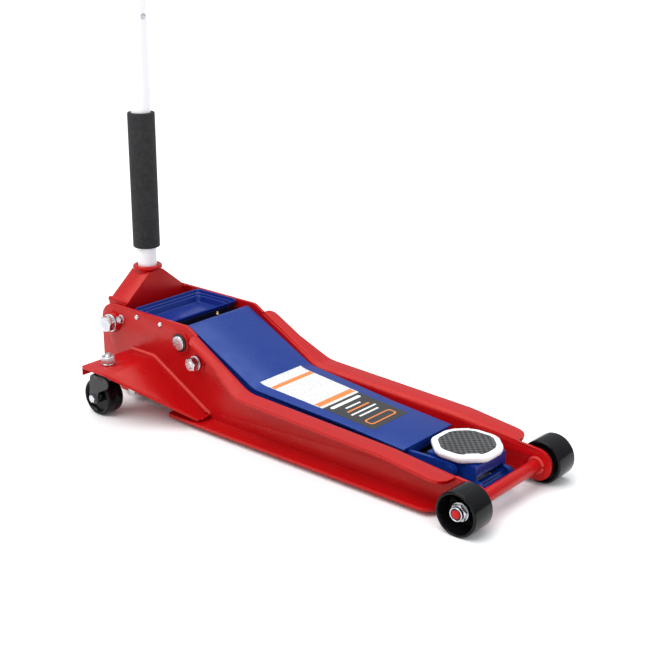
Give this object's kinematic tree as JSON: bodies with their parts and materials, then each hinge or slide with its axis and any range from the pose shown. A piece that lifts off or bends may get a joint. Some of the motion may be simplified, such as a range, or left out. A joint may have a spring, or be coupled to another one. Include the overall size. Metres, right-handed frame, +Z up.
{
  "type": "hydraulic trolley jack",
  "caption": "Low-profile hydraulic trolley jack: red side plates, blue lift arm and tool tray, white swivelling saddle, front wheels, rear casters and an upright pump handle.",
  "frame": {"origin": "middle of the bounding box, on the floor", "axes": "+X forward to the saddle and front wheels, +Y to the left side, +Z up along the upright handle"},
  "size_m": [0.927, 0.438, 1.29],
  "materials": {
    "red_paint": "glossy red enamel on pressed steel",
    "blue_paint": "glossy deep blue enamel on pressed steel",
    "white_paint": "satin white powder coat",
    "zinc": "bright zinc plate",
    "steel": "ground steel, oiled",
    "black_steel": "black lacquer on stamped steel",
    "cast_iron": "dark painted casting",
    "brass": "turned brass",
    "nylon": "glossy black hard plastic wheels",
    "rubber": "black rubber pad with a moulded grid",
    "foam": "matte black closed-cell foam",
    "grip_rubber": "ribbed black rubber"
  },
  "bodies": {
    "root": {"side_plate_left": "red_paint", "side_plate_right": "red_paint", "caster_wing_left": "red_paint", "caster_wing_right": "red_paint", "front_tube": "red_paint", "front_axle": "red_paint", "axle_nut_left": "zinc", "axle_nut_right": "zinc", "caster_stem_left": "zinc", "caster_stem_right": "zinc", "caster_race_left": "zinc", "caster_race_right": "zinc", "tool_tray": "blue_paint", "pump_block": "cast_iron", "filler_plug": "brass", "tie_rod": "zinc", "ram_cylinder": "cast_iron", "return_spring_left": "steel", "return_spring_right": "steel", "pivot_shaft": "steel", "pivot_ring_left": "black_steel", "pivot_ring_right": "black_steel", "link_bolt_left": "zinc", "link_bolt_right": "zinc", "yoke_bolt_left": "zinc", "yoke_bolt_right": "zinc"},
    "lift_arm": {"arm_cover": "blue_paint", "arm_plate_left": "blue_paint", "arm_plate_right": "blue_paint", "arm_crank": "blue_paint", "crank_pin": "steel", "grease_nipple": "brass", "saddle_pin_left": "blue_paint", "saddle_pin_right": "blue_paint"},
    "radius_rods": {"radius_rod_left": "blue_paint", "radius_rod_right": "blue_paint"},
    "saddle_head": {"saddle_bracket": "blue_paint", "link_pin": "blue_paint"},
    "saddle_dish": {"saddle": "white_paint", "saddle_pad": "rubber"},
    "ram": {"ram_rod": "steel", "crosshead": "cast_iron"},
    "yoke": {"handle_yoke": "red_paint", "roller_pin": "steel", "cam_roller": "steel"},
    "handle": {"handle_tube_lower": "white_paint", "handle_tube_upper": "white_paint", "foam_sleeve": "foam", "hand_grip": "grip_rubber"},
    "button": {"snap_button": "zinc"},
    "plunger": {"pump_plunger": "steel"},
    "valve": {"release_valve": "steel"},
    "caster_left": {"caster_fork_left": "black_steel", "caster_axle_bolt_left": "zinc"},
    "caster_roll_left": {"caster_wheel_left": "nylon"},
    "front_roll_left": {"front_wheel_left": "nylon"},
    "caster_right": {"caster_fork_right": "black_steel", "caster_axle_bolt_right": "zinc"},
    "caster_roll_right": {"caster_wheel_right": "nylon"},
    "front_roll_right": {"front_wheel_right": "nylon"}
  },
  "joints": [
    {"name": "arm_lift", "type": "hinge", "parent": "root", "child": "lift_arm", "pos_m": [-0.2375, 0, 0.15], "axis": [0, -1, 0], "range_deg": [0, 44]},
    {"name": "rod_swing", "type": "hinge", "parent": "root", "child": "radius_rods", "pos_m": [-0.1945, 0, 0.121], "axis": [0, -1, 0], "range_deg": [0, 44]},
    {"name": "saddle_level", "type": "hinge", "parent": "lift_arm", "child": "saddle_head", "pos_m": [0.3505, 0, 0.057], "axis": [0, -1, 0], "range_deg": [-44, 0]},
    {"name": "saddle_turn", "type": "hinge", "parent": "saddle_head", "child": "saddle_dish", "pos_m": [0.3435, 0, 0.07], "axis": [0, 0, 1], "continuous": true},
    {"name": "ram_stroke", "type": "slide", "parent": "root", "child": "ram", "axis": [1, 0, 0], "range_m": [0, 0.0563], "deforming": ["return_spring_left", "return_spring_right"]},
    {"name": "handle_pump", "type": "hinge", "parent": "root", "child": "yoke", "pos_m": [-0.4295, 0, 0.148], "axis": [0, -1, 0], "range_deg": [0, 70]},
    {"name": "plunger_stroke", "type": "slide", "parent": "root", "child": "plunger", "axis": [1, 0, 0], "range_m": [0, 0.0275]},
    {"name": "handle_twist", "type": "hinge", "parent": "yoke", "child": "handle", "pos_m": [-0.4295, 0, 0.2], "axis": [0, 0, 1], "range_deg": [0, 180]},
    {"name": "valve_turn", "type": "hinge", "parent": "root", "child": "valve", "pos_m": [-0.3965, 0, 0.148], "axis": [1, 0, 0], "range_deg": [-180, 0]},
    {"name": "button_press", "type": "slide", "parent": "handle", "child": "button", "axis": [-1, 0, 0], "range_m": [0, 0.004], "stiffness_N_per_m": 600, "springref_m": -0.003},
    {"name": "caster_swivel_left", "type": "hinge", "parent": "root", "child": "caster_left", "pos_m": [-0.3505, 0.178, 0.09], "axis": [0, 0, 1], "continuous": true},
    {"name": "caster_spin_left", "type": "hinge", "parent": "caster_left", "child": "caster_roll_left", "pos_m": [-0.3685, 0.178, 0.036], "axis": [0, 1, 0], "continuous": true},
    {"name": "front_spin_left", "type": "hinge", "parent": "root", "child": "front_roll_left", "pos_m": [0.4255, 0.125, 0.038], "axis": [0, 1, 0], "continuous": true},
    {"name": "caster_swivel_right", "type": "hinge", "parent": "root", "child": "caster_right", "pos_m": [-0.3505, -0.178, 0.09], "axis": [0, 0, 1], "continuous": true},
    {"name": "caster_spin_right", "type": "hinge", "parent": "caster_right", "child": "caster_roll_right", "pos_m": [-0.3685, -0.178, 0.036], "axis": [0, 1, 0], "continuous": true},
    {"name": "front_spin_right", "type": "hinge", "parent": "root", "child": "front_roll_right", "pos_m": [0.4255, -0.125, 0.038], "axis": [0, 1, 0], "continuous": true}
  ],
  "couplings": [
    {"joint": "rod_swing", "follows": "arm_lift", "ratio": 1},
    {"joint": "saddle_level", "follows": "arm_lift", "ratio": -1},
    {"joint": "ram_stroke", "follows": "arm_lift", "m_per_rad": 0.07317},
    {"joint": "plunger_stroke", "follows": "handle_pump", "m_per_rad": 0.02243},
    {"joint": "valve_turn", "follows": "handle_twist", "ratio": -1}
  ]
}
